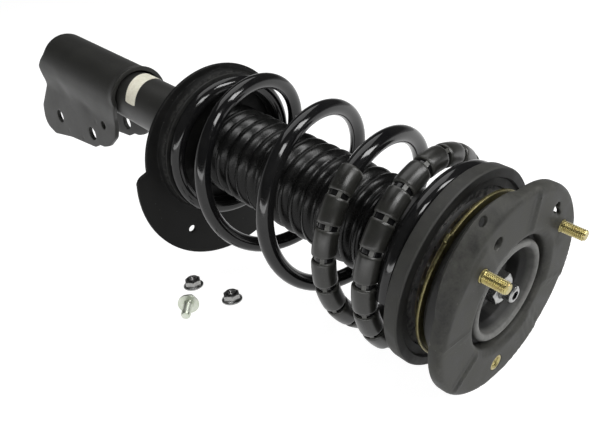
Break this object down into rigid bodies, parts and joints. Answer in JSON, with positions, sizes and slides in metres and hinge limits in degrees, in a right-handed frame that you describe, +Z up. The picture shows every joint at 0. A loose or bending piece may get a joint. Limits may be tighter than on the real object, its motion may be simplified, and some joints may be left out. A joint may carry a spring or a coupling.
{
  "type": "strut assembly",
  "caption": "Complete suspension strut: damper with knuckle bracket, coil spring, dust boot, spring seats, thrust bearing and rubber tower mount with studs.",
  "frame": {"origin": "centre of the tower mount's seating face", "axes": "+X along the strut's axis out of the seating face, towards the body of the car; +Z up as the strut lies, with the bracket's ears pointing to -Z"},
  "size_m": [0.6581, 0.1778, 0.1938],
  "materials": {
    "satin_black_paint": "satin black paint",
    "dull_black_paint": "dull black paint",
    "mount_paint": "mottled dark grey coating",
    "spring_coating": "glossy black powder coat",
    "seat_rubber": "dull",
    "mount_rubber": "dull dark grey",
    "boot_rubber": "semi-gloss",
    "sleeve_plastic": "satin charcoal",
    "cage_plastic": "matte",
    "bump_foam": "matte foam",
    "yellow_zinc": "yellow zinc plating",
    "green_zinc": "pale zinc plating",
    "silver_zinc": "bright zinc plating",
    "rod_chrome": "ground",
    "bare_steel": "machined"
  },
  "bodies": {
    "tower_mount": {"mount_plate": "mount_paint", "mount_rubber": "mount_rubber", "mount_lip": "mount_rubber", "mount_bush": "mount_rubber", "mount_sleeve": "bare_steel", "mount_studs": "yellow_zinc", "threaded_insert": "yellow_zinc", "lower_mount_plate": "yellow_zinc", "bearing_upper_race": "bare_steel", "piston_rod": "rod_chrome", "piston": "bare_steel", "piston_nut": "bare_steel", "rebound_stop": "bare_steel", "rod_washer": "silver_zinc", "rod_nut": "silver_zinc", "bump_stop": "bump_foam"},
    "upper_seat": {"upper_spring_seat": "dull_black_paint", "upper_spring_pad": "seat_rubber", "bearing_lower_race": "bare_steel", "dust_boot": "boot_rubber", "coil_spring": "spring_coating", "spring_sleeves": "sleeve_plastic"},
    "bearing_ring": {"bearing_cage": "cage_plastic", "bearing_balls": "rod_chrome"},
    "strut_body": {"strut_tube": "satin_black_paint", "tube_end_cap": "satin_black_paint", "knuckle_bracket": "satin_black_paint", "lower_spring_seat": "dull_black_paint", "lower_spring_pad": "seat_rubber", "inner_cylinder": "bare_steel", "base_valve": "bare_steel", "rod_guide": "bare_steel", "rod_seal": "seat_rubber"},
    "loose_nuts": {"loose_flange_nuts": "silver_zinc"},
    "loose_bolt_body": {"loose_bolt": "green_zinc"}
  },
  "joints": [
    {"name": "steer", "type": "hinge", "parent": "tower_mount", "child": "upper_seat", "pos_m": [-0.035, 0, 0], "axis": [1, 0, 0], "continuous": true},
    {"name": "bearing_roll", "type": "hinge", "parent": "tower_mount", "child": "bearing_ring", "pos_m": [-0.0345, 0, 0], "axis": [1, 0, 0], "continuous": true},
    {"name": "stroke", "type": "slide", "parent": "upper_seat", "child": "strut_body", "axis": [1, 0, 0], "range_m": [0, 0.14], "stiffness_N_per_m": 22000, "springref_m": -0.03, "deforming": ["coil_spring", "spring_sleeves", "dust_boot"]},
    {"name": "lift_nuts", "type": "slide", "parent": "tower_mount", "child": "loose_nuts", "axis": [-0.1283, -0.5, 0.8565], "range_m": [0, 0.1]},
    {"name": "lift_bolt", "type": "slide", "parent": "tower_mount", "child": "loose_bolt_body", "axis": [-0.1482, 0, 0.989], "range_m": [0, 0.1]}
  ],
  "couplings": [
    {"joint": "bearing_roll", "follows": "steer", "ratio": 0.5}
  ]
}
